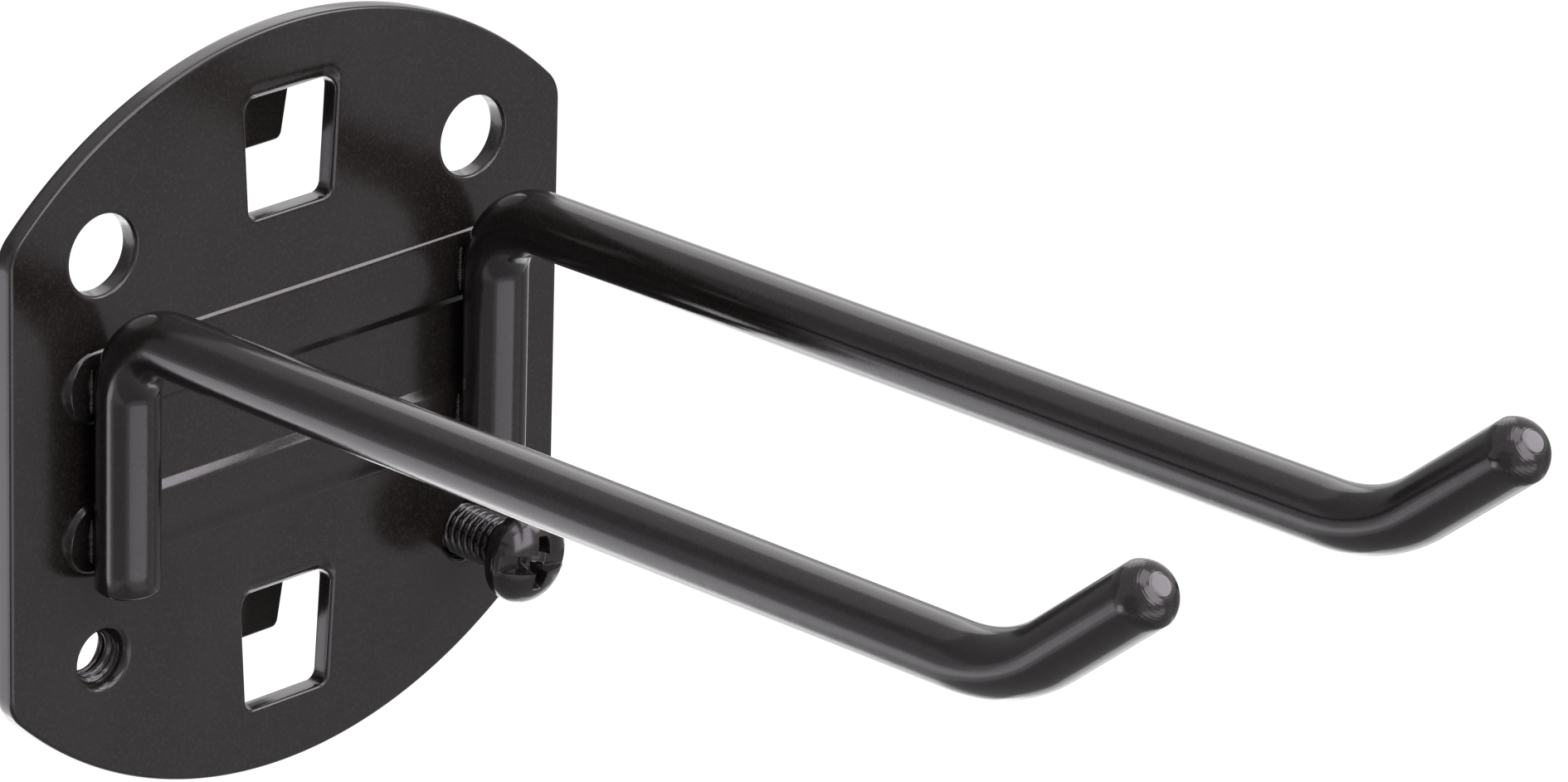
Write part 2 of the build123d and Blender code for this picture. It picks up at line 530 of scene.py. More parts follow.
    def roll(self, outline: Outline) -> np.ndarray:
        """Return the front edge's rounding along an outline.

        It is the same all round, but dies away where a window's top edge runs under its tab.

        Args:
            outline: The loop that the edge follows.

        Returns:
            One radius for each point.
        """
        across, up = outline.points.T
        hidden = np.zeros(len(across))
        for hinge in self.hinge_heights:
            near = np.abs(hinge - self.root_drop - up) < self.hidden_height * self.root_radius
            hidden = np.where(near, 1.0 - ease(np.abs(across), *self.hidden_rim), hidden)
        return self.front_roll * (1.0 - self.hidden_share * hidden)

    def add_rim(self, shell: Shell, outline: Outline) -> None:
        """Carry the sheet's cut edge along an outline.

        The profile is a quarter circle from the front face to the wall, the wall, and a smaller quarter
        circle to the back face.

        Args:
            shell: The plate's patches.
            outline: The loop that the edge follows.
        """
        roll = self.roll(outline)
        base = self.front(*outline.inset(roll).T)
        rows = []
        for turn in quarter_turn(6):
            place = outline.inset(roll * (1.0 - math.sin(turn)))
            rows.append(np.insert(place, 1, base + roll * (1.0 - math.cos(turn)), axis=1))
        for share in self.wall_shares:
            level = (1.0 - share) * (base + roll) - share * self.back_roll
            rows.append(np.insert(outline.points, 1, level, axis=1))
        for turn in quarter_turn(4):
            place = outline.inset(self.back_roll * (1.0 - math.cos(turn)))
            rows.append(np.insert(place, 1, -self.back_roll * (1.0 - math.sin(turn)), axis=1))
        shell.add_grid(np.stack(rows), wrap_columns=True)

    def rib_contours(self) -> list:
        """Lay loops up each rib's wall, so that the skin has points where it bends."""
        loops = []
        quarter = 0.5 * math.pi
        run = np.linspace(self.rib_reach, -self.rib_reach, self.contour_run_points)[1:-1]
        for centre in self.rib_heights:
            for depth in np.linspace(*self.contour_depths):
                half = 0.5 * self.rib_width - depth
                middle = (self.rib_reach, centre)
                end, _ = arc_points(middle, half, -quarter, quarter, self.contour_end_points)
                top = np.stack([run, np.full_like(run, centre + half)], axis=1)
                other = np.stack([-end[:, 0], 2.0 * centre - end[:, 1]], axis=1)
                bottom = np.stack([-run, np.full_like(run, centre - half)], axis=1)
                loops.append(np.concatenate([end, top, other, bottom]))
        return loops

    def filling(self, loops: list) -> np.ndarray:
        """Scatter points over the plate for the skin between its loops.

        A coarse grid covers the plate and a fine one each hinge.  Points near a loop are left out, which
        is worked out in parts to spare memory.

        Args:
            loops: Every loop that the skin is tied to.

        Returns:
            The points, n by 2.
        """
        grids = [lattice(self.coarse_across, self.coarse_up)]
        for hinge in self.hinge_heights:
            fine_up = (hinge - self.fine_below, hinge + self.fine_above, self.fine_step)
            grids.append(lattice(self.fine_across, fine_up))
        points = np.concatenate(grids)
        ties = np.concatenate(loops)
        kept = []
        for part in np.array_split(points, self.filling_parts):
            distance = np.sqrt(((part[:, None, :] - ties[None, :, :]) ** 2).sum(-1)).min(axis=1)
            kept.append(part[distance > self.skin_clearance])
        return np.concatenate(kept)

    def add_skin(self, shell: Shell, rims: list, rounds: list, face: Callable) -> None:
        """Fill the region between the outer loop and the holes, and lift it to a face of the sheet.

        A second loop a little inside each edge keeps the bend in the shading next to that edge.

        Args:
            shell: The plate's patches.
            rims: The outlines of the plate, first, and of its windows and holes, each with its rounding.
            rounds: The loops where the collars start.
            face: Gives Y from X and Z.
        """
        edge, *holes = [outline.inset(rounding) for outline, rounding in rims]
        holes = [*holes, *rounds]
        margins = [outline.inset(rounding + self.shade_margin) for outline, rounding in rims]
        loops = [edge, *holes, *margins, *self.rib_contours()]
        points = np.concatenate([*loops, self.filling(loops)])
        edges, start = [], 0
        for loop in loops:
            index = np.arange(start, start + len(loop))
            edges.append(np.stack([index, np.roll(index, -1)], axis=1))
            start += len(loop)
        vertices = [Vector(point) for point in points.tolist()]
        ties = np.concatenate(edges).tolist()
        placed, _, faces, *_ = delaunay_2d_cdt(vertices, ties, [], 0, MERGE_DISTANCE)
        flat = np.array([tuple(point) for point in placed])
        triangles = np.array(faces)
        middle = flat[triangles].mean(axis=1)
        inside = inside_loop(middle, edge)
        for hole in holes:
            inside &= ~inside_loop(middle, hole)
        shell.add(np.insert(flat, 1, face(flat[:, 0], flat[:, 1]), axis=1), triangles[inside])

    def add_collar(self, shell: Shell, centre_x: float) -> None:
        """Turn one drawn collar: rounded mouth, threaded throat, end face and outer wall.

        Args:
            shell: The plate's patches.
            centre_x: X of the collar's axis.
        """
        angle = full_turn(self.ring_points)
        throat_y = -self.sheet + self.throat_depth
        end_y = self.collar_length
        major = self.thread.major_radius + self.thread_clearance
        turn = quarter_turn(9)
        mouth_r = self.mouth_radius - (self.mouth_radius - major) * np.sin(turn)
        mouth_y = -self.sheet + self.throat_depth * (1.0 - np.cos(turn))
        throat_end = end_y - self.thread_end_gap
        throat = np.linspace(throat_y, throat_end, self.throat_rings)[1:]
        grow = ease(throat, throat_y, throat_y + self.thread_run_in)
        grow = grow * (1.0 - ease(throat, end_y - self.thread_run_out, throat_end))
        ridge = self.thread.radius(angle[None, :], throat[:, None]) + self.thread_clearance
        ridge = major - (major - ridge) * grow[:, None]
        lip = quarter_turn(5)
        end_r = self.collar_outer - self.collar_end_round * (1.0 - np.sin(lip))
        end_r = np.concatenate([[major + self.bore_chamfer], end_r])
        end_places = np.concatenate([[end_y], end_y - self.collar_end_round * (1.0 - np.cos(lip))])
        foot = quarter_turn(6)
        foot_r = self.collar_outer + self.collar_root_fillet * (1.0 - np.cos(foot))
        foot_y = self.collar_root_fillet * (1.0 - np.sin(foot))
        radius = np.concatenate([mouth_r, [0.0] * len(throat), end_r, foot_r])
        depth = np.concatenate([mouth_y, throat, end_places, foot_y])
        rings = np.repeat(radius[:, None], len(angle), axis=1)
        rings[len(mouth_r) : len(mouth_r) + len(throat)] = ridge
        centre = (centre_x, -self.hole_height)
        shell.add_grid(turned(centre, rings, depth, angle), wrap_columns=True)

    def tab_path(self) -> tuple:
        """Run down the tab's middle surface, seen from the side.

        It is a quarter bend about the hinge's centre, a short level run, a wider quarter bend and the
        lip's drop, as places along Y and Z from the hinge line.

        Returns:
            The middle points and their normals towards the sheet's front face.
        """
        middle = self.bend_inner + 0.5 * self.sheet
        start = math.asin((self.root_drop - self.tab_overlap) / (self.bend_inner + self.sheet))
        first, first_normal = arc_points(
            (self.bend_inner, 0.0), middle, math.pi + start, 1.5 * math.pi, self.tab_bend_points
        )
        wide = self.lip_inner + 0.5 * self.sheet
        wide_centre = (self.panel_gap - self.lip_inner, -middle - wide)
        second, second_normal = arc_points(wide_centre, wide, 0.5 * math.pi, 0.0, self.tab_lip_points)
        straight_end = -self.lip_drop + self.lip_corner
        straight = np.linspace(wide_centre[1], straight_end, self.tab_drop_points)[1:]
        last = np.sin(quarter_turn(self.tab_end_points))[1:]
        drop = np.concatenate([straight, straight_end - self.lip_corner * last])
        third = np.stack([np.full_like(drop, wide_centre[0] + wide), drop], axis=1)
        third_normal = np.tile([-1.0, 0.0], (len(third), 1))
        path = np.concatenate([first, second, third])
        return path, np.concatenate([first_normal, -second_normal, third_normal])

    def add_tab(self, shell: Shell, hinge: float) -> None:
        """Carry the sheet's rounded section down one tab.

        The section is a rectangle with rolled edges.  Its width narrows with height below the bend, and
        over the lip's corner radius it follows a quarter circle to the end.  At the very end the section
        shrinks by the roll less the root of its square less the square of what is left.

        Args:
            shell: The plate's patches.
            hinge: Z of the tab's hinge line.
        """
        path, normal = self.tab_path()
        shoulder = -(self.bend_inner + self.sheet)
        fall = np.clip((shoulder - path[:, 1]) / (self.lip_drop + shoulder), 0.0, 1.0)
        half = 0.5 * (self.root_width * (1.0 - fall) + self.lip_end_width * fall)
        ahead = path[:, 1] + self.lip_drop
        left = np.clip(ahead, 0.0, self.lip_corner)
        half -= self.lip_corner - np.sqrt(self.lip_corner**2 - (self.lip_corner - left) ** 2)
        close = np.clip(ahead, 0.0, self.tab_roll)
        shrink = self.tab_roll - np.sqrt(self.tab_roll**2 - (self.tab_roll - close) ** 2)
        turn = quarter_turn(5)
        thick = 0.5 * self.sheet
        near = thick - self.tab_roll * (1.0 - np.cos(turn))
        side_x = self.tab_roll * (np.concatenate([np.sin(turn), np.cos(turn)]) - 1.0)
        side_n = np.concatenate([near, -near[::-1]])
        sign = np.concatenate([np.ones(len(side_x)), -np.ones(len(side_x))])
        section_x = np.concatenate([side_x, -side_x[::-1]])
        section_n = np.concatenate([side_n, side_n[::-1]])
        across = sign * (half - shrink)[:, None] + section_x
        lift = section_n * (1.0 - shrink / thick)[:, None]
        place = path[:, None, :] + lift[:, :, None] * normal[:, None, :]
        points = np.stack([across, place[..., 0], hinge + place[..., 1]], axis=-1)
        shell.add_grid(points, wrap_columns=True)
        for ring in (points[0], points[-1]):
            middle = np.repeat(ring.mean(axis=0)[None], len(ring), axis=0)
            shell.add_grid(np.stack([ring, middle]), wrap_columns=True)

    def make(self) -> bpy.types.Object:
        """Build the whole plate.

        Returns:
            One object that stands for the back plate's solid.
        """
        shell = Shell()
        blank, windows = self.blank_outline(), self.window_outlines()
        holes = [
            circle_outline((hand.value * self.column, self.hole_height), self.hole_radius, self.ring_points)
            for hand in Hand
        ]
        rims = (blank, *windows, *holes)
        for outline in rims:
            self.add_rim(shell, outline)
        places = [(hand.value * self.column, -self.hole_height) for hand in Hand]
        mouths = [circle_outline(place, self.mouth_radius, self.ring_points).points for place in places]
        root = self.collar_outer + self.collar_root_fillet
        roots = [circle_outline(place, root, self.ring_points).points for place in places]
        self.add_skin(shell, [(rim, self.roll(rim)) for rim in rims], mouths, self.front)
        self.add_skin(shell, [(rim, self.back_roll) for rim in rims], roots, self.back)
        for place in places:
            self.add_collar(shell, place[0])
        for hinge in self.hinge_heights:
            self.add_tab(shell, hinge)
        return shell.build(self.name)


@dataclass
class BentRod:
    """One of the two rods: foot, leg, heel, arm and upturned tip, bent from one length."""

    hand: Hand
    radius: float = 2.38
    column: float = 17.5
    leg_y: float = -4.15
    foot_z: float = -9.1
    arm_height: float = 10.75
    arm_rise: float = 2.2
    tip_corner_y: float = -90.4
    heel_radius: float = 5.2
    tip_bend_radius: float = 14.0
    tip_angle: float = 40.0
    tip_length: float = 16.5
    tip_rounding: float = 1.5
    tip_flat: float = 0.54
    tip_crease: float = 25.0
    groove_pitch: float = 0.14
    groove_depth: float = 0.004
    tip_shares: tuple = (0.66, 0.33, 0.0)
    foot_chamfer: float = 0.3
    foot_edge: float = 0.04
    foot_shares: tuple = (0.0, 0.5, 0.96)
    rib_heights: tuple = (5.7, -5.7)
    bead_aside: float = 1.5
    bead_y: float = -2.02
    bead_radius: float = 0.33
    bead_length: float = 3.4
    bead_ripple: float = 0.18
    bead_ripples: float = 1.9
    bead_cross_ripple: float = 0.5
    bead_cross_ripples: float = 2.7
    bead_rings: int = 41
    bead_around: int = 20
    straight_step: float = 1.5
    bend_points: int = 28
    tip_points: int = 14
    cap_rings: int = 64
    around: int = 72

    def line(self) -> tuple:
        """Run along the rod's centre line.

        Straight runs join two arcs, each tangent to the runs beside it: an arc starts its radius times
        the tangent of half the turn before the corner.

        Returns:
            The points along Y and Z, the unit directions at them, the tip's end and its direction.
        """
        rise, tip = math.radians(self.arm_rise), math.radians(self.tip_angle)
        corner_z = self.arm_height + (self.leg_y - self.tip_corner_y) * math.tan(rise)
        ways = [np.array([0.0, 1.0]), np.array([-math.cos(rise), math.sin(rise)])]
        ways.append(np.array([-math.cos(tip), math.sin(tip)]))
        corners = [np.array([self.leg_y, self.arm_height]), np.array([self.tip_corner_y, corner_z])]
        points, directions, cursor = [], [], np.array([self.leg_y, self.foot_z])
        for corner, radius, before, after in zip(
            corners, (self.heel_radius, self.tip_bend_radius), ways[:-1], ways[1:]
        ):
            turn = math.acos(float(before @ after))
            setback = radius * math.tan(0.5 * turn)
            entry = corner - setback * before
            count = max(4, int(np.linalg.norm(entry - cursor) / self.straight_step))
            share = np.linspace(0.0, 1.0, count)[:-1, None]
            points.append(cursor + share * (entry - cursor))
            directions.append(np.repeat(before[None], len(share), axis=0))
            bend = np.linspace(0.0, turn, self.bend_points)[:, None]
            aside = (after - math.cos(turn) * before) / math.sin(turn)
            points.append(entry + radius * (np.sin(bend) * before + (1.0 - np.cos(bend)) * aside))
            directions.append(np.cos(bend) * before + np.sin(bend) * aside)
            cursor = corner + setback * after
        end = corners[-1] + self.tip_length * ways[-1]
        share = np.linspace(0.0, 1.0, self.tip_points)[1:-1, None]
        straight = end - self.tip_rounding * ways[-1]
        points.append(cursor + share * (straight - cursor))
        directions.append(np.repeat(ways[-1][None], len(share), axis=0))
        return np.concatenate(points), np.concatenate(directions), end, ways[-1]

    def add_weld_bead(self, shell: Shell, across: float, height: float) -> None:
        """Lay the thin bead that the weld squeezed out beside the leg, along the crown of a rib.

        Its radius is the square root of a half sine of the way along it, times one plus two ripples of
        unlike lengths, and falls to nothing at both ends.

        Args:
            shell: The rod's patches.
            across: X of the bead's middle line.
            height: Z of the rib's middle.
        """
        share = np.linspace(0.0, 1.0, self.bead_rings)
        phase = share * 2.0 * math.pi * self.bead_ripples + across
        crossing = self.bead_cross_ripple * np.sin(self.bead_cross_ripples * phase + height)
        ripple = 1.0 + self.bead_ripple * (np.sin(phase) + crossing)
        size = self.bead_radius * np.sqrt(np.clip(np.sin(math.pi * share), 0.0, 1.0)) * ripple
        angle = full_turn(self.bead_around)
        place_x = across + size[:, None] * np.cos(angle)
        place_y = self.bead_y + size[:, None] * np.sin(angle)
        place_z = np.repeat((height + (share - 0.5) * self.bead_length)[:, None], len(angle), axis=1)
        shell.add_grid(np.stack([place_x, place_y, place_z], axis=-1), wrap_columns=True)

    def make(self) -> bpy.types.Object:
        """Carry a circle along the line, turn the tip round and break the foot's edge.

        The tip is turned: an arc from a faint crease on the rod to a small flat, with fine grooves whose
        depth is a cosine of the way along it.

        Returns:
            One object that stands for this rod's solid.
        """
        line, direction, end, way = self.line()
        crease = math.radians(self.tip_crease)
        turn = np.linspace(crease, 0.5 * math.pi, self.cap_rings)
        fall = (1.0 - np.sin(turn)) / (1.0 - math.sin(crease))
        drop = np.cos(turn) / math.cos(crease)
        groove = 0.5 - 0.5 * np.cos((turn - crease) * 2.0 * math.pi * self.tip_rounding / self.groove_pitch)
        cap_line = end - (self.tip_rounding * fall + self.groove_depth * groove)[:, None] * way
        cap_size = self.tip_flat + (self.radius - self.tip_flat) * drop - self.groove_depth * groove
        inner = np.array(self.tip_shares) * self.tip_flat
        bevel, edge = 0.9 * self.foot_chamfer, self.foot_edge
        face = np.array(self.foot_shares) * (self.radius - self.foot_chamfer)
        foot_size = np.concatenate([face, [self.radius - bevel, self.radius - edge, self.radius]])
        foot_up = np.concatenate([0.0 * face, [edge, bevel, 1.2 * self.foot_chamfer]])
        foot_line = np.stack([np.full_like(foot_up, self.leg_y), self.foot_z + foot_up], axis=1)
        centre = np.concatenate([foot_line, line[1:], cap_line, np.repeat(end[None], len(inner), axis=0)])
        size = np.concatenate([foot_size, np.full(len(line) - 1, self.radius), cap_size, inner])
        foot_ways = np.tile([0.0, 1.0], (len(foot_size), 1))
        ways = np.concatenate([foot_ways, direction[1:], np.tile(way, (len(cap_size) + len(inner), 1))])
        aside = np.stack([-ways[:, 1], ways[:, 0]], axis=1)
        angle = full_turn(self.around)
        across = self.hand.value * self.column + size[:, None] * np.cos(angle)
        reach = size[:, None] * np.sin(angle)
        place = centre[:, None, :] + reach[:, :, None] * aside[:, None, :]
        shell = Shell()
        shell.add_grid(np.stack([across, place[..., 0], place[..., 1]], axis=-1), wrap_columns=True)
        for height in self.rib_heights:
            for side in (-1.0, 1.0):
                middle = self.hand.value * self.column + side * self.bead_aside
                self.add_weld_bead(shell, middle, height)
        return shell.build(f"{self.hand.name.lower()}_bent_rod")


@dataclass
class LockScrew:
    """The machine screw in the right-hand collar, with a slot across a cross recess in its pan head."""

    column: float = 17.5
    height: float = -15.45
    seat_y: float = -7.15
    length: float = 8.0
    head_radius: float = 3.5
    head_height: float = 2.6
    side_height: float = 0.6
    slot_width: float = 1.3
    slot_depth: float = 1.3
    cross_span: float = 4.1
    cross_width: float = 1.1
    cross_depth: float = 2.0
    slot_tilt: float = -9.0
    neck_length: float = 1.2
    neck_radius: float = 1.75
    point_chamfer: float = 0.45
    point_radii: tuple = (1.2, 0.6, 0.0)
    edge: float = 0.07
    cross_rim: float = 0.35
    cross_sweep: float = 2.2
    cross_taper: float = 0.25
    cross_end: tuple = (0.47, 0.52)
    seat_round: float = 0.1
    neck_fillet: float = 0.25
    shank_start: float = 0.3
    thread_run_in: float = 0.35
    rings_per_pitch: int = 12
    dome_rows: int = 121
    wall_rows: int = 13
    row_points: int = 241
    thread: Thread = field(default_factory=Thread)
    name: str = "slotted_lock_screw"

    def head_top(self) -> np.ndarray:
        """Shape the head's domed top with its slot and recess.

        Rows run along the slot, so its walls lie on rows: a point is a share of its row's half chord.
        The dome is a quarter ellipse over the radius.  The slot's floor is level, and the cross recess
        deepens from the end of each wing towards the middle by a power of the way out.

        Returns:
            Rows by columns by 3, as places along the slot, above the seat and across the slot.
        """
        half_slot = 0.5 * self.slot_width
        wall = np.linspace(-1.0, 1.0, self.wall_rows)
        rows = np.sin(np.linspace(-0.5, 0.5, self.dome_rows) * math.pi) * self.head_radius
        walls = [side * half_slot + self.edge * wall for side in (-1.0, 1.0)]
        across = np.unique(np.round(np.concatenate([rows, *walls]), 6))
        share = np.sin(np.linspace(-0.5, 0.5, self.row_points) * math.pi)
        half_chord = np.sqrt(np.maximum(self.head_radius**2 - across**2, 0.0))
        along = half_chord[:, None] * share[None, :]
        over = np.repeat(across[:, None], len(share), axis=1)
        out = np.clip(np.hypot(along, over) / self.head_radius, 0.0, 1.0)
        dome = self.side_height + (self.head_height - self.side_height) * np.sqrt(1.0 - out**2)
        slot = 1.0 - ease(np.abs(over), half_slot - self.edge, half_slot + self.edge)
        top = dome + slot * (np.minimum(dome, self.head_height - self.slot_depth) - dome)
        deep = self.head_height - self.cross_depth
        end_from, end_to = (share_out * self.cross_span for share_out in self.cross_end)
        for length_way, width_way in ((along, over), (over, along)):
            reach = np.clip(np.abs(length_way) / (0.5 * self.cross_span), 0.0, 1.0)
            floor = deep + (self.cross_depth - self.cross_rim) * reach**self.cross_sweep
            half = 0.5 * self.cross_width * (1.0 - self.cross_taper * reach)
            inside = 1.0 - ease(np.abs(width_way), half - self.edge, half + self.edge)
            inside = inside * (1.0 - ease(np.abs(length_way), end_from, end_to))
            top = top + inside * (np.minimum(top, floor) - top)
        return np.stack([along, top, over], axis=-1)

    def shank(self, angle: np.ndarray) -> tuple:
        """Turn the rest of the screw: head side, seat, neck, thread and point.

        Args:
            angle: The angles of the points round it.

        Returns:
            Radii, rings by angles, and the rings' places along Y from the seat.
        """
        turn = quarter_turn(5)
        side_r = self.head_radius - self.seat_round * (1.0 - np.cos(turn))
        side_r = np.concatenate([[self.head_radius], side_r])
        side_y = np.concatenate([[-self.side_height], -self.seat_round * (1.0 - np.sin(turn))])
        neck_r = self.neck_radius + self.neck_fillet * (1.0 - np.sin(turn))
        neck_y = self.neck_fillet * (1.0 - np.cos(turn))
        count = int((self.length - self.shank_start) / self.thread.pitch * self.rings_per_pitch)
        body = np.linspace(self.shank_start, self.length, count)
        ridge = self.thread.radius(angle[None, :], self.seat_y + body[:, None])
        run_in = self.thread_run_in
        grow = ease(body, self.neck_length - run_in, self.neck_length + run_in)[:, None]
        ridge = self.neck_radius + (ridge - self.neck_radius) * grow
        past = np.clip(body - (self.length - self.point_chamfer), 0.0, None)[:, None]
        ridge = np.where(past > 0.0, np.minimum(ridge, self.thread.major_radius - past), ridge)
        side, neck, end = (
            np.repeat(np.asarray(size)[:, None], len(angle), axis=1)
            for size in (side_r, neck_r, self.point_radii)
        )
        rings = np.concatenate([side, neck, ridge, end])
        return rings, np.concatenate([side_y, neck_y, body, np.full(len(end), self.length)])

    def make(self) -> bpy.types.Object:
        """Build the screw.

        Returns:
            One object that stands for the screw's solid.
        """
        shell = Shell()
        tilt = math.radians(self.slot_tilt)
        top = self.head_top()
        across = top[..., 0] * math.cos(tilt) - top[..., 2] * math.sin(tilt)
        up = top[..., 0] * math.sin(tilt) + top[..., 2] * math.cos(tilt)
        shell.add_grid(np.stack([self.column + across, self.seat_y - top[..., 1], self.height + up], -1))
        angle = np.arctan2(
            np.concatenate([up[:, -1], up[-2:0:-1, 0]]), np.concatenate([across[:, -1], across[-2:0:-1, 0]])
        )
        rings, places = self.shank(angle)
        points = turned((self.column, self.height), rings, self.seat_y + places, angle)
        shell.add_grid(points, wrap_columns=True)
        return shell.build(self.name)


class Socket:
    """One output of a node, with arithmetic that adds Math nodes."""

    def __init__(self, book: "NodeBook", output: bpy.types.NodeSocket) -> None:
        """Wrap an output of a node in a node tree."""
        self.book = book
        self.output = output

    def _math(self, operation: str, *values: object) -> "Socket":
        """Add a Math node for an operation on values."""
        return self.book.node("ShaderNodeMath", {"operation": operation}, dict(enumerate(values)))

    def __add__(self, other: object) -> "Socket":
        """Add."""
        return self._math("ADD", self, other)

    __radd__ = __add__

    def __mul__(self, other: object) -> "Socket":
        """Multiply."""
        return self._math("MULTIPLY", self, other)

    __rmul__ = __mul__

    def larger(self, other: object) -> "Socket":
        """Return the larger of the two."""
        return self._math("MAXIMUM", self, other)


class NodeBook:
    """Writes nodes into the tree of one material or of the world."""

    def __init__(self, tree: bpy.types.NodeTree) -> None:
        """Start with an empty tree."""
        self.tree = tree
        self.tree.nodes.clear()

    def node(self, kind: str, settings: dict | None = None, values: dict | None = None) -> Socket | None:
        """Add a node.

        Args:
            kind: Its type.
            settings: What is set on the node first; "stops" are a colour ramp's places and greys.
            values: Numbers, colours or sockets for its inputs, by name or number.

        Returns:
            Its first output, or None where it has none.
        """
        made = self.tree.nodes.new(kind)
        for key, value in (settings or {}).items():
            if key == "stops":
                for index, (place, grey) in enumerate(value):
                    ramp = made.color_ramp.elements
                    stop = ramp[index] if index < 2 else ramp.new(place)
                    stop.position, stop.color = place, (grey, grey, grey, 1.0)
            else:
                setattr(made, key, value)
        for key, value in (values or {}).items():
            if isinstance(value, Socket):
                self.tree.links.new(value.output, made.inputs[key])
            else:
                made.inputs[key].default_value = value
        return Socket(self, made.outputs[0]) if made.outputs else None

    def pick(self, first: Socket, name: str) -> Socket:
        """Return another output of the node that a socket belongs to."""
        return Socket(self, first.output.node.outputs[name])

    def place(self) -> Socket:
        """Return the surface's place in the frame, in metres."""
        return self.pick(self.node("ShaderNodeTexCoord"), "Object")

    def noise(self, grain: float, detail: float, roughness: float) -> Socket:
        """Add a noise of about a grain in metres, from 0 to 1."""
        values = {"Vector": self.place(), "Scale": 1.0 / grain, "Detail": detail, "Roughness": roughness}
        return self.node("ShaderNodeTexNoise", {"noise_dimensions": "3D"}, values)

    def ramp(self, value: Socket, low: float, high: float) -> Socket:
        """Turn a value into a grey, black up to low and white from high."""
        return self.node("ShaderNodeValToRGB", {"stops": ((low, 0.0), (high, 1.0))}, {"Fac": value})

    def mix(self, share: Socket, first: Socket | tuple, second: Socket | tuple) -> Socket:
        """Mix the first colour with a share of the second."""
        values = {"Factor": share, "A": first, "B": second}
        return self.pick(self.node("ShaderNodeMix", {"data_type": "RGBA"}, values), "Result")

    def surface(self, shader: Socket, output: str = "ShaderNodeOutputMaterial") -> None:
        """Lead a shader to the tree's output."""
        self.node(output, None, {"Surface": shader})


def new_material(name: str) -> tuple:
    """Make a material with an empty node tree.

    Args:
        name: The material's name.

    Returns:
        The material and the book that writes its nodes.
    """
    material = bpy.data.materials.new(name)
    material.use_nodes = True
    return material, NodeBook(material.node_tree)


@dataclass(frozen=True)
class BlackCoat:
    """A thin black coat on steel: nearly black, glossy and a little uneven.

    Each noise is its grain in metres, its detail and its roughness.
    """

    name: str
    roughness: float
    colour: tuple = (0.0078, 0.0060, 0.0052)
    dusty_colour: tuple = (0.014, 0.012, 0.011)
    gloss_tint: tuple = (0.97, 0.91, 1.0)
    roughness_spread: float = 0.08
    ior: float = 1.46
    speckle_colour: tuple = (0.022, 0.019, 0.020)
    speckle_noise: tuple = (0.00020, 1.0, 0.5)
    speckle_range: tuple = (0.50, 0.72)
    speckle_share: float = 0.55
    dust_noise: tuple = (0.011, 3.0, 0.55)
    dust_range: tuple = (0.42, 0.72)
    dust_share: float = 0.6
    grain_noise: tuple = (0.00030, 3.0, 0.6)
    grain_height: float = 0.0000030
    peel_noise: tuple = (0.0016, 2.0, 0.45)
    peel_height: float = 0.0000060

    def make(self) -> bpy.types.Material:
        """Write the coat's nodes.

        The height is a fine grain on a broad orange peel.  Roughness rises with the grain, dust lies
        where a broad cloud is dense, and fine specks of it lie all over.

        Returns:
            The material.
        """
        material, book = new_material(self.name)
        fine = book.noise(*self.grain_noise)
        height = fine * self.grain_height + book.noise(*self.peel_noise) * self.peel_height
        bump = book.node("ShaderNodeBump", None, {"Strength": 1.0, "Distance": 1.0, "Height": height})
        dust = book.ramp(book.noise(*self.dust_noise), *self.dust_range)
        tint = book.mix(dust * self.dust_share, (*self.colour, 1.0), (*self.dusty_colour, 1.0))
        specks = book.ramp(book.noise(*self.speckle_noise), *self.speckle_range)
        tint = book.mix(specks * self.speckle_share, tint, (*self.speckle_colour, 1.0))
        sheen = self.roughness - 0.5 * self.roughness_spread + fine * self.roughness_spread
        values = {
            "Base Color": tint,
            "Roughness": sheen,
            "IOR": self.ior,
            "Specular Tint": (*self.gloss_tint, 1.0),
            "Normal": bump,
        }
        book.surface(book.node("ShaderNodeBsdfPrincipled", None, values))
        return material


def aim(azimuth: float, elevation: float) -> Vector:
    """Return the unit vector towards a direction in degrees.

    Args:
        azimuth: The turn from straight in front of the plate towards its right.
        elevation: The rise above level.

    Returns:
        The sine and the negative cosine of the turn, each times the cosine of the rise, and its sine.
    """
    turn, rise = math.radians(azimuth), math.radians(elevation)
    return Vector((math.sin(turn) * math.cos(rise), -math.cos(turn) * math.cos(rise), math.sin(rise)))


@dataclass(frozen=True)
class Panel:
    """A flat panel in the studio that faces the hook and that the camera doesn't see.

    Its angles are in degrees and its distance, width and height in metres.
    """

    name: str
    azimuth: float
    elevation: float
    distance: float
    width: float
    height: float
    brightness: float
    roll: float = 0.0

    def hang(self, data: bpy.types.ID, target: Vector) -> bpy.types.Object:
        """Hang a lamp or a mesh so that its face looks at the target.

        Args:
            data: The lamp or mesh.
            target: The point that it faces.

        Returns:
            The object.
        """
        away = aim(self.azimuth, self.elevation)
        holder = bpy.data.objects.new(self.name, data)
        holder.location = target + self.distance * away
        turn = away.to_track_quat("Z", "Y") @ Quaternion((0.0, 0.0, 1.0), math.radians(self.roll))
        holder.rotation_euler = turn.to_euler()
        holder.visible_camera = False
        bpy.context.scene.collection.objects.link(holder)
        return holder


@dataclass(frozen=True)
class SoftLight(Panel):
    """A lamp whose whole face glows."""

    def make(self, target: Vector) -> None:
        """Hang the lamp, with the power that gives its face the wanted brightness.

        Args:
            target: The point it faces.
        """
        lamp = bpy.data.lights.new(self.name, "AREA")
        lamp.shape, lamp.size, lamp.size_y = "RECTANGLE", self.width, self.height
        lamp.energy = self.brightness * math.pi * self.width * self.height
        self.hang(lamp, target)


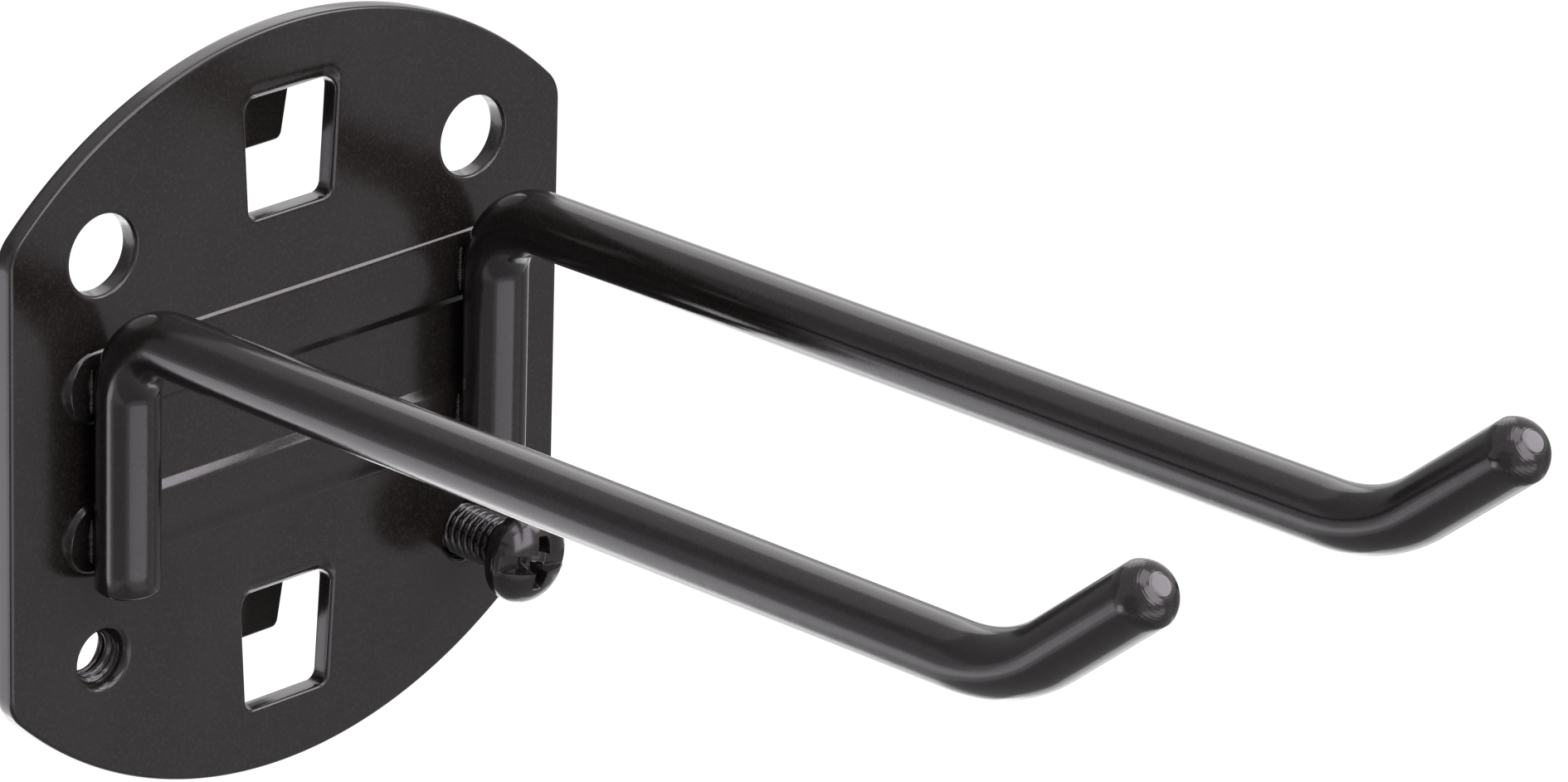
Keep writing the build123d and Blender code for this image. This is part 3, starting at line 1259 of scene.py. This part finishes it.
@dataclass(frozen=True)
class MirroredCard(Panel):
    """A card that only shows in the hook's gloss, darker than the pale room behind it."""

    def make(self, target: Vector) -> None:
        """Hang the card without a shadow.

        Args:
            target: The point it faces.
        """
        x, y = 0.5 * self.width, 0.5 * self.height
        mesh = bpy.data.meshes.new(self.name)
        mesh.from_pydata([(-x, -y, 0.0), (x, -y, 0.0), (x, y, 0.0), (-x, y, 0.0)], [], [(0, 1, 2, 3)])
        material, book = new_material(self.name)
        book.surface(book.node("ShaderNodeEmission", None, {"Strength": self.brightness}))
        mesh.materials.append(material)
        card = self.hang(mesh, target)
        card.visible_diffuse = card.visible_shadow = False


@dataclass
class Studio:
    """A pale floor, soft light, dark cards and the camera where the photograph was taken.

    Lengths are in metres, but the camera's place, lens and sensor are in millimetres.
    """

    floor_z: float = -1.1
    floor_size: float = 14.0
    floor_points: int = 96
    floor_rings: int = 9
    floor_grey: float = 0.35
    floor_lift: float = 0.90
    world_level: float = 0.5
    target: tuple = (0.0, -0.03, 0.0)
    camera_place: tuple = (-443.55, -496.37, 281.93)
    azimuth: float = -44.415
    elevation: float = 23.05
    roll: float = 1.478
    lens: float = 232.02
    sensor: float = 36.0
    shift: tuple = (0.0519, 0.0146)
    clip: tuple = (0.05, 20.0)
    lamps: tuple = (
        SoftLight("front_softbox", 4.0, 30.0, 1.0, 0.75, 0.8, 5.0),
        SoftLight("top_softbox", 20.0, 74.0, 1.0, 0.8, 0.6, 3.5),
        SoftLight("right_softbox", 52.0, 37.0, 1.1, 0.55, 0.62, 7.0),
        SoftLight("rear_softbox", 143.0, 32.0, 1.2, 0.64, 0.78, 1.5),
        SoftLight("low_back_light", -158.0, -37.5, 0.9, 1.0, 0.30, 1.9, 27.0),
        SoftLight("low_side_light", -112.0, -24.0, 0.9, 0.22, 0.24, 3.4),
        SoftLight("low_rear_light", 158.0, -46.0, 0.9, 0.60, 0.40, 1.0),
        SoftLight("low_right_light", 117.0, -56.0, 0.9, 0.40, 0.52, 1.4),
        SoftLight("low_front_light", -5.0, -21.0, 0.9, 1.05, 0.27, 1.6),
    )
    cards: tuple = (
        MirroredCard("back_card", -170.0, 14.0, 1.25, 1.9, 1.15, 0.45),
        MirroredCard("left_card", -71.0, 0.0, 1.25, 1.0, 1.25, 0.55),
        MirroredCard("right_front_card", 41.0, -16.0, 1.25, 0.75, 0.87, 0.68),
        MirroredCard("right_card", 84.0, -16.0, 1.25, 1.25, 0.87, 0.35),
        MirroredCard("under_card", 0.0, -84.0, 0.96, 2.5, 1.8, 0.5),
    )

    def seen(self, book: NodeBook) -> Socket:
        """Return 1 for rays from the camera, off gloss or through glass, and 0 for the rest."""
        path = book.node("ShaderNodeLightPath")
        glossy = book.pick(path, "Is Glossy Ray")
        return path.larger(glossy).larger(book.pick(path, "Is Transmission Ray"))

    def add_floor(self) -> None:
        """Lay a round pale floor that keeps shadows and looks white where nothing shades it."""
        angle = full_turn(self.floor_points)
        rings = np.linspace(0.0, 0.5 * self.floor_size, self.floor_rings)
        points = rings[:, None, None] * np.stack([np.cos(angle), np.sin(angle), 0.0 * angle], axis=-1)
        points[..., 2] = self.floor_z
        shell = Shell()
        shell.add_grid(points / MM, wrap_columns=True)
        floor = shell.build("studio_floor")
        material, book = new_material("pale_floor")
        values = {
            "Base Color": (self.floor_grey,) * 3 + (1.0,),
            "Roughness": 1.0,
            "Specular IOR Level": 0.0,
            "Emission Color": (1.0, 1.0, 1.0, 1.0),
            "Emission Strength": self.seen(book) * self.floor_lift,
        }
        book.surface(book.node("ShaderNodeBsdfPrincipled", None, values))
        floor.data.materials.append(material)

    def add_world(self) -> None:
        """Surround the scene with white, seen at full strength and lighting it at the world's level."""
        world = bpy.data.worlds.new("soft_surroundings")
        world.use_nodes = True
        bpy.context.scene.world = world
        book = NodeBook(world.node_tree)
        level = self.seen(book) * (1.0 - self.world_level) + self.world_level
        values = {"Color": (1.0, 1.0, 1.0, 1.0), "Strength": level}
        book.surface(book.node("ShaderNodeBackground", None, values), "ShaderNodeOutputWorld")

    def add_camera(self) -> None:
        """Stand the camera up: turned to its azimuth, tipped by its elevation, then rolled."""
        turn, roll = math.radians(self.azimuth), math.radians(self.roll)
        back = aim(self.azimuth, self.elevation)
        right = Vector((math.cos(turn), math.sin(turn), 0.0))
        up = back.cross(right)
        right, up = (
            right * math.cos(roll) + up * math.sin(roll),
            up * math.cos(roll) - right * math.sin(roll),
        )
        camera = bpy.data.cameras.new("photo_camera")
        camera.lens, camera.sensor_width = self.lens, self.sensor
        camera.shift_x, camera.shift_y = self.shift
        camera.clip_start, camera.clip_end = self.clip
        holder = bpy.data.objects.new("photo_camera", camera)
        place = Matrix.Translation(Vector(self.camera_place) * MM)
        holder.matrix_world = place @ Matrix((right, up, back)).transposed().to_4x4()
        bpy.context.scene.collection.objects.link(holder)
        bpy.context.scene.camera = holder

    def make(self) -> None:
        """Build the studio."""
        self.add_floor()
        self.add_world()
        for item in (*self.lamps, *self.cards):
            item.make(Vector(self.target))
        self.add_camera()
        bpy.context.scene.view_settings.view_transform = "Standard"


def place_piece(
    piece: bpy.types.Object, finish: bpy.types.Material, body: str, node: str
) -> None:
    """Dress a piece and put it in its solid's place.

    Args:
        piece: The finished piece.
        finish: Its material.
        body: The body that it rides on.
        node: The solid that it stands for.
    """
    piece.data.materials.append(finish)
    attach(piece, body)
    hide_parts(node)
    piece.data.calc_loop_triangles()
    LOG.info("%s: %d triangles", piece.name, len(piece.data.loop_triangles))


def main() -> None:
    """Build the four pieces, dress them and light them."""
    logging.basicConfig(level=logging.INFO, format="%(name)s: %(message)s")
    coat = BlackCoat("plate_black_coat", roughness=0.19).make()
    rod_coat = BlackCoat("rod_black_coat", roughness=0.16).make()
    screw_coat = BlackCoat("screw_black_finish", roughness=0.17).make()
    place_piece(PressedPlate().make(), coat, "hook", "back_plate")
    for hand in Hand:
        node = f"{hand.name.lower()}_rod"
        place_piece(BentRod(hand).make(), rod_coat, "hook", node)
    place_piece(LockScrew().make(), screw_coat, "lock_screw", "lock_screw")
    Studio().make()


if __name__ == "__main__":
    main()
